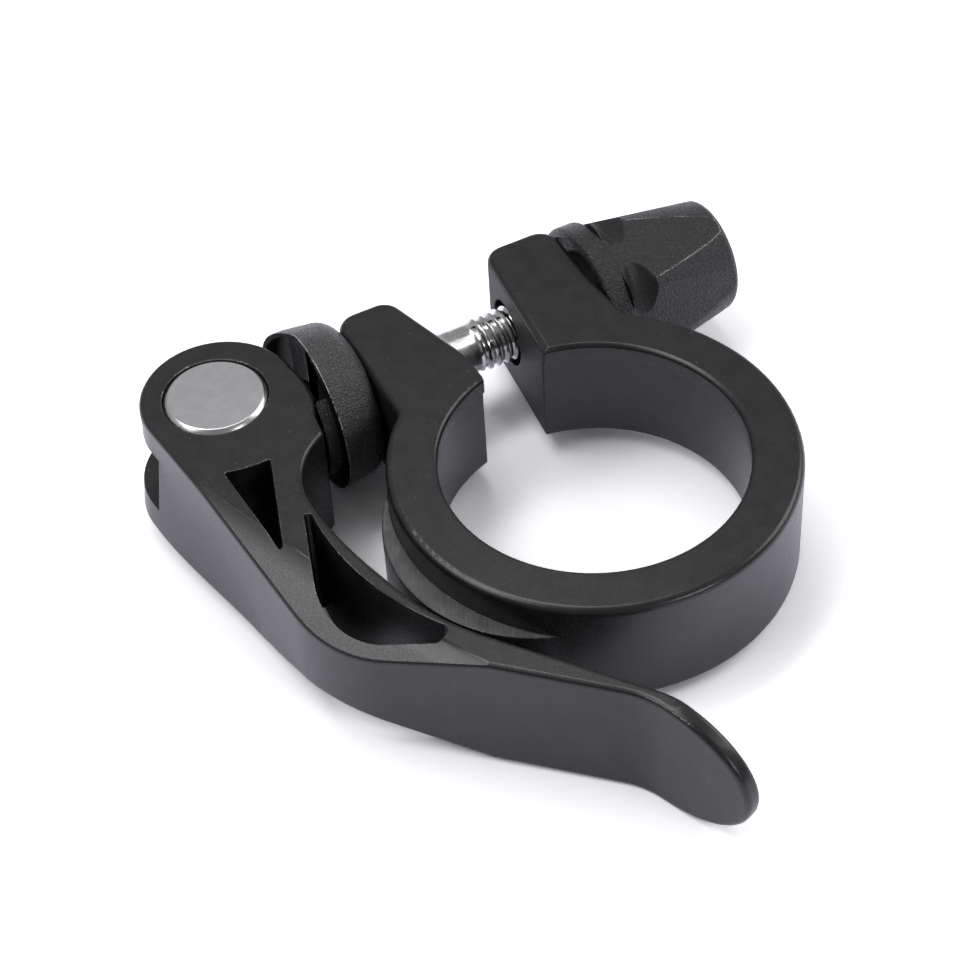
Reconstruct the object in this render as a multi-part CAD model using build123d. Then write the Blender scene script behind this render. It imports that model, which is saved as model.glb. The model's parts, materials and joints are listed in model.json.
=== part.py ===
from build123d import *
import os
from math import acos, atan2, cos, hypot, radians, sin, tan

# Quick-release seatpost clamp, in millimetres.
# Origin: on the tube bore's axis, half way up the collar. +Z runs up the bore, +X along the
# bolt from the lever to the nut, and +Y from the bore towards the two lugs.

# Collar ring
BORE_DIAMETER = 31.8
COLLAR_WALL = 4.8
COLLAR_HEIGHT = 13.0
COLLAR_EDGE = 0.8           # rounding of the outer rims
LIP_INSET = 0.4             # stop lip at the top of the bore
LIP_HEIGHT = 2.0
LIP_EDGE = 0.5              # rounding of the bore's upper edge
LIP_FULLNESS = 0.34         # 0.29 would be a full quarter round, 0.5 a chamfer
BORE_CHAMFER = 0.4

# Milled ledge on the collar's wall, beside the closed lever
LEDGE_REACH = 2.3           # how far it stands out from the wall
LEDGE_RADIUS = 15.6
LEDGE_ANGLE = 193.5         # where it stands out most, from +X
LEDGE_BELOW_TOP = 3.8

# Lugs and the split between them
BOLT_STANDOFF = 5.2         # bolt axis beyond the collar's wall
LEVER_LUG_BEYOND_BOLT = 4.9
NUT_LUG_BEYOND_BOLT = 6.5
LEVER_LUG_FACE = 14.2       # outer lug faces, from the middle of the split
NUT_LUG_FACE = 12.6
SPLIT_LEVER_SIDE = 4.5      # half widths of the split at the bore, and how each face opens out
SPLIT_LEVER_FLARE = 16.0
SPLIT_LEVER_STRAIGHT = 4.1  # how far beyond the bore the lever-side face stays straight
SPLIT_NUT_SIDE = 2.7
SPLIT_NUT_FLARE = 6.0
LUG_OUTER_CORNER = 2.4
LUG_SPLIT_CORNER = 2.2
LEVER_LUG_ROOT = 1.5
NUT_LUG_ROOT = 3.5
LUG_HOLE_DIAMETER = 7.4

# Bolt and cross barrel
BOLT_DIAMETER = 5.9         # over the thread
SHANK_DIAMETER = 5.4        # plain part, thinner because the thread is rolled
THREAD_START = -1.2         # from the middle of the split
BOLT_END_IN_NUT = 13.0      # bolt end beyond the nut-side lug
BOLT_END_CHAMFER = 0.7
BARREL_DIAMETER = 10.8
BARREL_CHAMFER = 0.5
BARREL_PROUD = 0.2          # barrel ends beyond the lever's faces
BOLT_IN_BARREL = 4.0        # bolt end beyond the barrel's axis
JOINED_CLEARANCE = 0.03

# Cup washer between the cam and the lug
WASHER_DIAMETER = 17.8
WASHER_LUG_DIAMETER = 16.6
WASHER_LUG_EDGE = 2.4
WASHER_FLOOR = 5.1          # thickness at the bottom of the cup
WASHER_WING = 2.0           # how far the back wing reaches beyond the bottom of the cup
WASHER_FRONT_WING = 0.8     # the same beside the closed lever's nose
WASHER_RIM = 1.0            # width of the raised rim round the cup
WASHER_RIM_STEP = 0.35
WASHER_HOLE_DIAMETER = 6.6
WASHER_EDGE = 0.6

# Lever head: an eccentric cam about the barrel
LEVER_HEIGHT = 14.0
CAM_RADIUS = 8.2
CAM_THROW = 0.45
CAM_ANGLE = 12.0            # direction of the largest cam radius in the closed lever
CAM_CLEARANCE = 0.25
CAM_PLAY = 1.3              # how far the unclamped cam stands off the bottom of the cup
CAM_LOBE = 0.7              # bulge of the face between the cam and the nose
LOBE_START = 0.3            # where the bulge starts, as a share of that face
HEEL_LEAN = 1.5             # how much further out the head's heel stands at its lower face
HEEL_BACK = 84.0            # where the heel starts behind the head, from +X
HEEL_TOP = 2.4              # where the lean starts, below the upper face
HEEL_CHAMFER = 0.6
HEEL_SINK = 0.05            # how far the heel's upper edge starts inside the head's wall
HEEL_RUN = 0.68             # where it runs out, as a share of the way to the elbow
HEEL_SWELL = 3.0            # how far outside the elbow the heel's lower side aims
PIVOT_CLEARANCE = 0.05
SLOT_CLEARANCE = 0.8
LEVER_OPENING = 170.0       # degrees from closed to open
NOSE_INSET = 0.8            # stop nose, inside the cam's radius along X
NOSE_DROP = 2.0             # and outside it along Y
NOSE_ROUND = 0.8

# Lever arm, wrapped round the collar
LEVER_GAP = 4.9             # arm to collar wall
WRAP_START = -166.0
WRAP_END = -142.0
THROAT_INSET = 5.0          # narrowest place, from the nose
THROAT_DROP = 8.7
THROAT_BULGE = 1.6
ELBOW_WIDTH = 8.9           # arm width at the elbow, beyond the wrap radius
ELBOW_ANGLE = 193.7
ELBOW_RADIUS = 16.0
BLADE_RUN = 18.4            # straight inner side of the blade
BEND_LEAD = 2.3             # the outer bend comes this much earlier than the inner one
BEND_THICKNESS = 1.3
BEND_RADIUS = 9.0
TIP_TURN = 17.5
TIP_LENGTH = 10.2
TIP_ROUND_LENGTH = 9.5      # length of the rounded fingernail end
LEVER_EDGE = 0.6

# Bevel across the elbow, above and below
BEVEL_ANGLE = 207.4
BEVEL_START = 2.3           # beyond the wrap radius
BEVEL_SLOPE = 33.5
LEAD_ANGLE = 200.0          # lead-in beside the head
LEAD_FROM = 0.25            # where it starts, as a share of the way from the head to the elbow
LEAD_SLOPE = 28.0

# Cut-outs in the arm
RIM_WIDTH = 1.6             # thin inner rim beside the long cut-out, half way
RIM_END_WIDTH = 0.75        # the same at its far end, and beside the head
RIM_HEAD_WIDTH = 3.0
LONG_CUT_HEAD = 167.3       # directions of the same three places, from +X
LONG_CUT_MIDDLE = 190.7
LONG_CUT_END = 210.5
LONG_CUT_WIDTH = 6.6        # at its own elbow
LONG_CUT_HEAD_WIDTH = 0.7   # at its blunt end beside the head
LONG_CUT_END_WIDTH = 1.9    # at its rounded far end
LONG_CUT_ANGLE = 192.0
LONG_CUT_RADIUS = 8.8
LONG_CUT_END_ROUND = 0.8
SHORT_CUT_RADIUS = 10.9     # upper side, about the barrel
SHORT_CUT_FROM = 251.0
SHORT_CUT_TO = 276.5
SHORT_CUT_LENGTH = 12.4     # from the upper side to the lower corner
SHORT_CUT_ANGLE = 262.9
CUT_CORNER = 0.25

# Thumb nut
NUT_CLEARANCE = 0.15        # nut to lug
NUT_FLANGE_DIAMETER = 17.2
NUT_FLANGE_WIDTH = 2.5
NUT_FLANGE_EDGE = 0.4
NUT_FLANGE_RIM = 0.9
NUT_FLANGE_RECESS = 0.8
NUT_LENGTH = 16.6
NUT_BASE_RADIUS = 9.3       # over the corners, beside the flange
NUT_END_RADIUS = 6.1
NUT_END_ROUND = 1.2
NUT_SCOOP_WIDTH = 3.4
NUT_SCOOP_DEPTH = 1.9
NUT_SCOOP_LENGTH = 7.0
NUT_END_WALL = 1.8
NUT_BOLT_ROOM = 0.4
NUT_TWIST = 11.0            # hexagon corner, from +Z towards +Y

# Threaded insert in the nut
INSERT_DIAMETER = 9.6
INSERT_LENGTH = 9.0
INSERT_COLLAR_DIAMETER = 11.6
INSERT_COLLAR_WIDTH = 1.6
THREAD_CLEARANCE = 0.05
INSERT_CLEARANCE = 0.06

# How edges and corners are picked out
SAME_PLACE = 0.01
UPRIGHT = 0.9               # rise per length of an edge that counts as upright
ROUNDING_SHARE = 0.9        # most of the shorter side that a corner's rounding may take

# Derived places
bore_radius = BORE_DIAMETER / 2
collar_radius = bore_radius + COLLAR_WALL
top = COLLAR_HEIGHT / 2
bolt_y = collar_radius + BOLT_STANDOFF
lever_lug_end = bolt_y + LEVER_LUG_BEYOND_BOLT
nut_lug_end = bolt_y + NUT_LUG_BEYOND_BOLT
cup_radius = CAM_RADIUS + CAM_THROW + CAM_CLEARANCE
cup_x = -LEVER_LUG_FACE - WASHER_FLOOR - cup_radius
barrel_x = cup_x - CAM_PLAY
barrel = Vector(barrel_x, bolt_y)
cam_centre = barrel + Vector(CAM_THROW * cos(radians(CAM_ANGLE)), CAM_THROW * sin(radians(CAM_ANGLE)))
lever_top = LEVER_HEIGHT / 2
wrap_radius = collar_radius + LEVER_GAP
elbow_radius = wrap_radius + ELBOW_WIDTH
elbow = Vector(elbow_radius * cos(radians(ELBOW_ANGLE)), elbow_radius * sin(radians(ELBOW_ANGLE)))
bolt_end = NUT_LUG_FACE + BOLT_END_IN_NUT
nut_start = NUT_LUG_FACE + NUT_CLEARANCE


def polar(radius, degrees, centre=Vector(0, 0)):
    """Point at a radius and direction from a centre."""
    return centre + Vector(radius * cos(radians(degrees)), radius * sin(radians(degrees)))


def along_x(x, y=0.0, z=0.0):
    """Plane whose normal is +X, with its own X along +Y and its own Y along +Z."""
    return Plane(origin=(x, y, z), x_dir=(0, 1, 0), z_dir=(1, 0, 0))


def slab(plan, z_from, z_to):
    """Plan outline raised from one level to another."""
    return extrude(Pos(0, 0, z_from) * plan, z_to - z_from, dir=(0, 0, 1))


def rod(x_from, x_to, diameter):
    """Round bar along the bolt's axis."""
    return extrude(along_x(x_from, bolt_y) * Circle(diameter / 2), x_to - x_from)


def tangent_point(outside, centre, radius):
    """Where the line from an outside point touches a circle, on the -X side."""
    reach = outside - centre
    spread = acos(radius / hypot(reach.X, reach.Y))
    direction = atan2(reach.Y, reach.X) - spread
    return centre + Vector(radius * cos(direction), radius * sin(direction))


def make_collar():
    """Split ring with two lugs, a stop lip and the milled ledge."""
    flare_y = bore_radius + SPLIT_LEVER_STRAIGHT
    lever_opening, nut_opening = tan(radians(SPLIT_LEVER_FLARE)), tan(radians(SPLIT_NUT_FLARE))
    lever_mouth = SPLIT_LEVER_SIDE + (lever_lug_end - flare_y) * lever_opening
    nut_mouth = SPLIT_NUT_SIDE + (nut_lug_end - bore_radius) * nut_opening
    far_end = max(lever_lug_end, nut_lug_end)
    lugs = Polygon((-LEVER_LUG_FACE, 0), (NUT_LUG_FACE, 0), (NUT_LUG_FACE, nut_lug_end), (0, nut_lug_end),
                   (0, lever_lug_end), (-LEVER_LUG_FACE, lever_lug_end), align=None)
    split = Polygon((-SPLIT_LEVER_SIDE, 0), (SPLIT_NUT_SIDE, 0), (SPLIT_NUT_SIDE, bore_radius),
                    (nut_mouth + (far_end - nut_lug_end) * nut_opening, far_end),
                    (-lever_mouth - (far_end - lever_lug_end) * lever_opening, far_end),
                    (-SPLIT_LEVER_SIDE, flare_y), align=None)
    outline = Circle(collar_radius) + lugs - split
    corners = [
        (-LEVER_LUG_FACE, lever_lug_end, LUG_OUTER_CORNER),
        (NUT_LUG_FACE, nut_lug_end, LUG_OUTER_CORNER),
        (-lever_mouth, lever_lug_end, LUG_SPLIT_CORNER),
        (nut_mouth, nut_lug_end, LUG_SPLIT_CORNER),
        (-LEVER_LUG_FACE, (collar_radius**2 - LEVER_LUG_FACE**2) ** 0.5, LEVER_LUG_ROOT),
        (NUT_LUG_FACE, (collar_radius**2 - NUT_LUG_FACE**2) ** 0.5, NUT_LUG_ROOT),
    ]
    for x, y, radius in corners:
        outline = fillet(outline.vertices().sort_by_distance((x, y, 0))[0], radius)

    body = slab(outline, -top, top)
    rims = body.faces().filter_by(Axis.Z).edges()
    body = fillet(rims.filter_by(lambda e: hypot(e.center().X, e.center().Y) > bore_radius), COLLAR_EDGE)

    ledge_centre = polar(collar_radius + LEDGE_REACH - LEDGE_RADIUS, LEDGE_ANGLE)
    ledge = slab(Pos(ledge_centre.X, ledge_centre.Y) * Circle(LEDGE_RADIUS), -top, top - LEDGE_BELOW_TOP)
    body = body + ledge

    bore = slab(Circle(bore_radius), -top, top - LIP_HEIGHT)
    lip = slab(Circle(bore_radius - LIP_INSET), -top, top)
    mouth = Pos(0, 0, -top + BORE_CHAMFER / 2) * Cone(bore_radius + BORE_CHAMFER, bore_radius, BORE_CHAMFER)
    bolt_hole = rod(-LEVER_LUG_FACE, NUT_LUG_FACE, LUG_HOLE_DIAMETER)
    return body - bore - lip - lip_rounding() - mouth - bolt_hole


def lip_rounding():
    """What is turned off the bore's upper edge to leave it rounded."""
    inner = bore_radius - LIP_INSET
    lower, upper = (inner, top - LIP_EDGE), (inner + LIP_EDGE, top)
    middle = (inner + LIP_EDGE * LIP_FULLNESS, top - LIP_EDGE * LIP_FULLNESS)
    outline = Polyline(upper, (0, top), (0, top - LIP_EDGE), lower) + ThreePointArc(lower, middle, upper)
    return revolve(Plane.XZ * make_face(outline), Axis.Z)


def make_bolt():
    """Skewer from the cross barrel to the nut, with a plain shank and a threaded end."""
    shank = rod(barrel_x - BOLT_IN_BARREL, THREAD_START, SHANK_DIAMETER)
    thread = rod(THREAD_START, bolt_end, BOLT_DIAMETER)
    thread = chamfer(thread.edges().group_by(Axis.X)[-1], BOLT_END_CHAMFER)
    return shank + thread


def make_barrel():
    """Turned cross barrel in the lever's head, drilled to take the bolt's end."""
    length = LEVER_HEIGHT + 2 * BARREL_PROUD
    body = Pos(barrel.X, barrel.Y, 0) * Cylinder(BARREL_DIAMETER / 2, length)
    body = chamfer(body.edges().filter_by(GeomType.CIRCLE), BARREL_CHAMFER)
    drilling = rod(barrel_x - BOLT_IN_BARREL - JOINED_CLEARANCE, barrel_x + BARREL_DIAMETER,
                   SHANK_DIAMETER + 2 * JOINED_CLEARANCE)
    return body - drilling


def make_washer():
    """Moulded cup that the cam runs in, round outside with two wings beside the cam."""
    lug_side = -LEVER_LUG_FACE
    rim_side = lug_side - WASHER_FLOOR - WASHER_WING
    profile = Polygon(
        (lug_side, 0),
        (lug_side, WASHER_LUG_DIAMETER / 2),
        (lug_side - WASHER_FLOOR, WASHER_DIAMETER / 2),
        (rim_side, WASHER_DIAMETER / 2),
        (rim_side, 0),
        align=None,
    )
    for x, y, radius in ((lug_side, WASHER_LUG_DIAMETER / 2, WASHER_LUG_EDGE),
                         (rim_side, WASHER_DIAMETER / 2, WASHER_EDGE)):
        profile = fillet(profile.vertices().sort_by_distance((x, y, 0))[0], radius)
    body = Pos(0, bolt_y, 0) * revolve(profile, Axis.X)
    # The cup is round about an upright axis, with a straight run-out for the closed lever's nose
    cup = Pos(cup_x, bolt_y) * Circle(cup_radius)
    run_x = cup_x + cup_radius - WASHER_FRONT_WING
    nose_run = Polygon((cup_x, bolt_y), (run_x, bolt_y), (run_x, bolt_y - WASHER_DIAMETER),
                       (cup_x, bolt_y - WASHER_DIAMETER), align=None)
    room = slab(cup + nose_run, -WASHER_DIAMETER / 2, WASHER_DIAMETER / 2)
    step = slab(Pos(cup_x, bolt_y) * Circle(cup_radius + WASHER_RIM_STEP), -WASHER_DIAMETER / 2,
                WASHER_DIAMETER / 2) & rod(rim_side, lug_side, WASHER_DIAMETER - 2 * WASHER_RIM)
    hole = rod(rim_side, lug_side, WASHER_HOLE_DIAMETER)
    return body - room - step - hole


def lever_outline():
    """Plan of the lever: cam head, nose, throat, wrapped arm, elbow, blade and tip."""
    wrap_start = polar(wrap_radius, WRAP_START)
    wrap_end = polar(wrap_radius, WRAP_END)
    blade = polar(1, WRAP_END + 90)
    blade_side = polar(1, WRAP_END)
    inner_bend = wrap_end + blade * BLADE_RUN
    outer_bend = inner_bend - blade * BEND_LEAD + blade_side * BEND_THICKNESS
    tip = polar(1, WRAP_END + 90 - TIP_TURN)
    tip_side = polar(1, WRAP_END - TIP_TURN)
    inner_tip = inner_bend + tip * TIP_LENGTH
    outer_tip = inner_tip + tip_side * (outer_bend - inner_bend).dot(tip_side)
    shoulder = tangent_point(elbow, cam_centre, CAM_RADIUS)
    nose = barrel + Vector(CAM_RADIUS - NOSE_INSET, -CAM_RADIUS - NOSE_DROP)
    throat = nose - Vector(THROAT_INSET, THROAT_DROP)
    throat_side = (throat - nose).normalized().rotate(Axis.Z, -90)
    brow = polar(CAM_RADIUS, 0, cam_centre)
    lobe_start = nose + (brow - nose) * LOBE_START
    lobe_side = (brow - nose).normalized().rotate(Axis.Z, -90)

    outer = FilletPolyline(shoulder, elbow, outer_bend, outer_tip, radius=[ELBOW_RADIUS, BEND_RADIUS])
    end = Line(outer_tip, inner_tip)
    inner = FilletPolyline(inner_tip, inner_bend, wrap_end, radius=BEND_RADIUS)
    wrap = RadiusArc(wrap_end, wrap_start, wrap_radius)
    waist = Spline(wrap_start, throat, tangents=[polar(1, WRAP_START - 90), Vector(0, 1)])
    hollow = ThreePointArc(throat, (throat + nose) * 0.5 + throat_side * THROAT_BULGE, nose)
    face = Line(nose, lobe_start)
    lobe = ThreePointArc(lobe_start, (lobe_start + brow) * 0.5 + lobe_side * CAM_LOBE, brow)
    crown = ThreePointArc(brow, polar(CAM_RADIUS, 90, cam_centre), shoulder)
    plan = make_face(outer + end + inner + wrap + waist + hollow + face + lobe + crown)
    return fillet(plan.vertices().sort_by_distance(nose)[0], NOSE_ROUND)


def make_heel():
    """Leaning heel of the head, which stands further out towards the lower face."""
    straight = tangent_point(elbow, cam_centre, CAM_RADIUS)
    run_out = straight + (elbow - straight) * HEEL_RUN
    sections = []
    for z, lean, swell in ((-lever_top, HEEL_LEAN, HEEL_SWELL), (lever_top - HEEL_TOP, -HEEL_SINK, 0)):
        centre = cam_centre - Vector(lean, 0)
        aim = elbow - Vector(swell, 0)
        shoulder = tangent_point(aim, centre, CAM_RADIUS)
        back = polar(CAM_RADIUS, HEEL_BACK, centre)
        end = run_out + Vector(HEEL_SINK, 0)
        side = Spline(shoulder, end, tangents=[aim - shoulder, elbow - straight])
        inside = Polyline(end, barrel, back)
        round_side = ThreePointArc(back, polar(CAM_RADIUS, (HEEL_BACK + 180) / 2, centre), shoulder)
        sections.append(Pos(0, 0, z) * make_face(side + inside + round_side))
    heel = loft(sections, ruled=True)
    lower = heel.edges().filter_by(lambda e: abs(e.center().Z + lever_top) < SAME_PLACE)
    return chamfer(lower.filter_by(lambda e: e.geom_type != GeomType.LINE), HEEL_CHAMFER)


def bolt_slot():
    """Room in the head for the bolt, from the closed lever round to the open one."""
    width = SHANK_DIAMETER + 2 * SLOT_CLEARANCE
    reach = 2 * CAM_RADIUS
    run = Pos(reach / 2, 0) * Rectangle(reach, width)
    opened = polar(reach, LEVER_OPENING)
    sweep = Polygon((0, 0), (reach, 0), (reach, reach), (-reach, reach), (opened.X, opened.Y), align=None)
    plan = run + Rot(0, 0, LEVER_OPENING) * run + sweep
    return slab(Pos(barrel.X, barrel.Y) * plan, -width / 2, width / 2)


def long_cut():
    """Crescent cut-out: round along the inner rim, with its own elbow on the other side."""
    near_rim = polar(wrap_radius + RIM_HEAD_WIDTH, LONG_CUT_HEAD)
    near_end = polar(wrap_radius + RIM_HEAD_WIDTH + LONG_CUT_HEAD_WIDTH, LONG_CUT_HEAD)
    middle = polar(wrap_radius + RIM_WIDTH, LONG_CUT_MIDDLE)
    far_rim = polar(wrap_radius + RIM_END_WIDTH, LONG_CUT_END)
    far_end = polar(wrap_radius + RIM_END_WIDTH + LONG_CUT_END_WIDTH, LONG_CUT_END)
    corner = polar(wrap_radius + RIM_WIDTH + LONG_CUT_WIDTH, LONG_CUT_ANGLE)
    turn = (corner - near_end).get_angle(far_end - corner)
    room = min((corner - near_end).length, (far_end - corner).length) / tan(radians(turn / 2))
    elbow_side = FilletPolyline(near_end, corner, far_end, radius=min(LONG_CUT_RADIUS, ROUNDING_SHARE * room))
    rim_side = ThreePointArc(far_rim, middle, near_rim)
    plan = make_face(rim_side + Line(near_rim, near_end) + elbow_side + Line(far_end, far_rim))
    for point, radius in ((near_rim, CUT_CORNER), (near_end, CUT_CORNER), (far_rim, LONG_CUT_END_ROUND),
                          (far_end, LONG_CUT_END_ROUND)):
        plan = fillet(plan.vertices().sort_by_distance(point)[0], radius)
    return plan


def short_cut():
    """Three-sided cut-out under the head, with its upper side round about the barrel."""
    left = polar(SHORT_CUT_RADIUS, SHORT_CUT_FROM, barrel)
    middle = polar(SHORT_CUT_RADIUS, (SHORT_CUT_FROM + SHORT_CUT_TO) / 2, barrel)
    right = polar(SHORT_CUT_RADIUS, SHORT_CUT_TO, barrel)
    lower = polar(SHORT_CUT_RADIUS + SHORT_CUT_LENGTH, SHORT_CUT_ANGLE, barrel)
    plan = make_face(ThreePointArc(left, middle, right) + Polyline(right, lower, left))
    return fillet(plan.vertices(), CUT_CORNER)


def bevel(direction, start, slope):
    """Wedge that slopes the arm's upper face down from a line across it."""
    span = 2 * ELBOW_WIDTH
    wedge = Polygon((start, lever_top), (start + span, lever_top),
                    (start + span, lever_top - span * tan(radians(slope))), align=None)
    return Rot(0, 0, direction) * extrude(Plane.XZ * wedge, 2 * wrap_radius, both=True)


def elbow_bevels():
    """Slopes down to the arm's outer corner, above and below, with a lead-in above."""
    shoulder = tangent_point(elbow, cam_centre, CAM_RADIUS)
    lead_place = shoulder + (elbow - shoulder) * LEAD_FROM
    lead = bevel(LEAD_ANGLE, lead_place.dot(polar(1, LEAD_ANGLE)), LEAD_SLOPE)
    upper = bevel(BEVEL_ANGLE, wrap_radius + BEVEL_START, BEVEL_SLOPE)
    return lead + upper + mirror(upper, Plane.XY)


def tip_rounding():
    """What is cut from the blade's end to leave a rounded fingernail."""
    heading = WRAP_END + 90 - TIP_TURN
    bend = polar(wrap_radius, WRAP_END) + polar(BLADE_RUN, WRAP_END + 90)
    root = bend + polar(TIP_LENGTH - TIP_ROUND_LENGTH, heading)
    across = polar(1, heading - 90)
    side_view = Plane(origin=root, x_dir=polar(1, heading), z_dir=across)
    block = Pos(TIP_ROUND_LENGTH, 0) * Rectangle(2 * TIP_ROUND_LENGTH, 2 * LEVER_HEIGHT)
    nail = Ellipse(TIP_ROUND_LENGTH, lever_top)
    return extrude(side_view * (block - nail), 2 * (BEND_LEAD + BEND_THICKNESS), both=True)


def make_lever():
    """Forged lever: slotted cam head, bevelled elbow, two cut-outs and a rounded tip."""
    bevels = elbow_bevels()
    body = slab(lever_outline(), -lever_top, lever_top) - bevels - tip_rounding()
    rims = body.edges().filter_by(lambda e: abs(e.tangent_at(0.5).Z) < UPRIGHT)
    body = fillet(rims, LEVER_EDGE)
    pivot = Pos(barrel.X, barrel.Y) * Circle(BARREL_DIAMETER / 2 + PIVOT_CLEARANCE)
    openings = slab(pivot + long_cut() + short_cut(), -lever_top, lever_top)
    return body + (make_heel() - bevels) - openings - bolt_slot()


def nut_stations():
    """Places along the bolt's axis: flange, body and free end of the nut."""
    return nut_start, nut_start + NUT_FLANGE_WIDTH, nut_start + NUT_LENGTH


def make_nut_shell():
    """Moulded thumb nut: cupped flange, tapered hexagon run into a cone, and six finger scoops."""
    flange_side, base, free_end = nut_stations()
    flange = rod(flange_side, base, NUT_FLANGE_DIAMETER)
    flange = fillet(flange.edges(), NUT_FLANGE_EDGE)
    cone_plan = Polygon((base, 0), (base, NUT_BASE_RADIUS), (free_end, NUT_END_RADIUS), (free_end, 0),
                        align=None)
    rim = cone_plan.vertices().sort_by_distance((free_end, NUT_END_RADIUS, 0))[0]
    cone = Pos(0, bolt_y, 0) * revolve(fillet(rim, NUT_END_ROUND), Axis.X)
    corner = Rot(0, 0, 90 - NUT_TWIST)
    small = NUT_END_RADIUS / cos(radians(30))
    hexagon = loft([along_x(base, bolt_y) * corner * RegularPolygon(NUT_BASE_RADIUS, 6),
                    along_x(free_end, bolt_y) * corner * RegularPolygon(small, 6)])
    body = flange + (hexagon & cone)
    scoop_radius = (NUT_SCOOP_WIDTH**2 / 4 + NUT_SCOOP_DEPTH**2) / (2 * NUT_SCOOP_DEPTH)
    for turn in range(6):
        place = along_x(base + NUT_SCOOP_WIDTH / 2, bolt_y) * corner * Rot(0, 0, 60 * turn)
        height = NUT_BASE_RADIUS - NUT_SCOOP_DEPTH + scoop_radius
        scoop = Pos(height, 0, 0) * Rot(90, 0, 0) * Cylinder(scoop_radius, NUT_SCOOP_LENGTH)
        body = body - place * scoop
    cup = rod(flange_side, flange_side + NUT_FLANGE_RECESS, NUT_FLANGE_DIAMETER - 2 * NUT_FLANGE_RIM)
    seat = rod(flange_side, flange_side + INSERT_COLLAR_WIDTH + INSERT_CLEARANCE,
               INSERT_COLLAR_DIAMETER + 2 * INSERT_CLEARANCE)
    sleeve = rod(flange_side, flange_side + INSERT_LENGTH + INSERT_CLEARANCE,
                 INSERT_DIAMETER + 2 * INSERT_CLEARANCE)
    thread_room = rod(flange_side, free_end - NUT_END_WALL, BOLT_DIAMETER + 2 * NUT_BOLT_ROOM)
    return body - cup - seat - sleeve - thread_room


def make_nut_insert():
    """Threaded metal bush inside the thumb nut, with a collar at the lug side."""
    collar = rod(nut_start, nut_start + INSERT_COLLAR_WIDTH, INSERT_COLLAR_DIAMETER)
    sleeve = rod(nut_start, nut_start + INSERT_LENGTH, INSERT_DIAMETER)
    tapping = rod(nut_start, nut_start + INSERT_LENGTH, BOLT_DIAMETER + 2 * THREAD_CLEARANCE)
    return collar + sleeve - tapping


def main():
    os.makedirs("parts", exist_ok=True)
    nodes = {
        "collar": make_collar(),
        "clamp_bolt": make_bolt(),
        "pivot_barrel": make_barrel(),
        "cam_washer": make_washer(),
        "lever": make_lever(),
        "nut_shell": make_nut_shell(),
        "nut_insert": make_nut_insert(),
    }
    for name, solid in nodes.items():
        export_step(solid, f"parts/{name}.step")


main()
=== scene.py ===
"""Looks, light and camera of a quick-release seatpost clamp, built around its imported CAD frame."""

from __future__ import annotations

import json
import logging
import math
from abc import ABC, abstractmethod
from collections.abc import Callable, Iterator, Sequence
from contextlib import contextmanager
from dataclasses import dataclass
from enum import Enum
from functools import cache

import bpy
from bpy.types import Material, Node, NodeSocket, NodeTree, Object
from mathutils import Matrix, Vector
from mathutils.bvhtree import BVHTree

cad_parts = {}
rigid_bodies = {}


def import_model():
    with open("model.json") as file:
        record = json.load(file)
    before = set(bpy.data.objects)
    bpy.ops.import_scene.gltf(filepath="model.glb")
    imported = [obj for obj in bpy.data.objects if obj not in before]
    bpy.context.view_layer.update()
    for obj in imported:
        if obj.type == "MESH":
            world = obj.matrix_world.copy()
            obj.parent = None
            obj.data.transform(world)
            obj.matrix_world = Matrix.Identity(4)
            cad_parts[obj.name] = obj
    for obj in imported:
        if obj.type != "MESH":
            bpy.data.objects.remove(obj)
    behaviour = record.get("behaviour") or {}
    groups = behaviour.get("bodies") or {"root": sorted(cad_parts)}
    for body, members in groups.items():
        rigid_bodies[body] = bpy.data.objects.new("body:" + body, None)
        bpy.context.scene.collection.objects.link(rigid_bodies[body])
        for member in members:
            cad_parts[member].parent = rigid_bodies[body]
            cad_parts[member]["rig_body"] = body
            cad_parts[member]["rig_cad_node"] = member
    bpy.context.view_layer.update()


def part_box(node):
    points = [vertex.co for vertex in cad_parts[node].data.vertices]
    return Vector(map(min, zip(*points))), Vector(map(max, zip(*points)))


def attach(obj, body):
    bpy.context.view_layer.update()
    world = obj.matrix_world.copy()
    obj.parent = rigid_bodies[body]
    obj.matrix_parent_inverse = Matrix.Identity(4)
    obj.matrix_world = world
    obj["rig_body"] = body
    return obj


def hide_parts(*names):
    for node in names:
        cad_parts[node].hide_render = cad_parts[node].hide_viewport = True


LOG = logging.getLogger("seatpost_clamp")
MM = 0.001
STRAY_SHARE = 0.75  # how far off the old surface a rounding may lie, as a share of its width
RING_SCALE = 0.31  # scale of a wave texture whose rings lie one unit apart

Triple = tuple[float, float, float]
FaceTest = Callable[[Vector, Vector], bool]
PlaceTest = Callable[[Vector], bool]


class Slot(Enum):
    """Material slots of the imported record."""

    COLLAR = "black_collar"
    LEVER = "black_lever"
    BARREL = "turned_steel"
    BOLT = "plated_bolt"
    WASHER = "black_washer"
    NUT = "black_nut"
    INSERT = "insert_steel"


class Body(Enum):
    """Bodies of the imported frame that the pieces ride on."""

    CLAMP = "clamp"
    LEVER = "lever"
    CARRIER = "nut_carrier"
    NUT = "thumb_nut"


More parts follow.
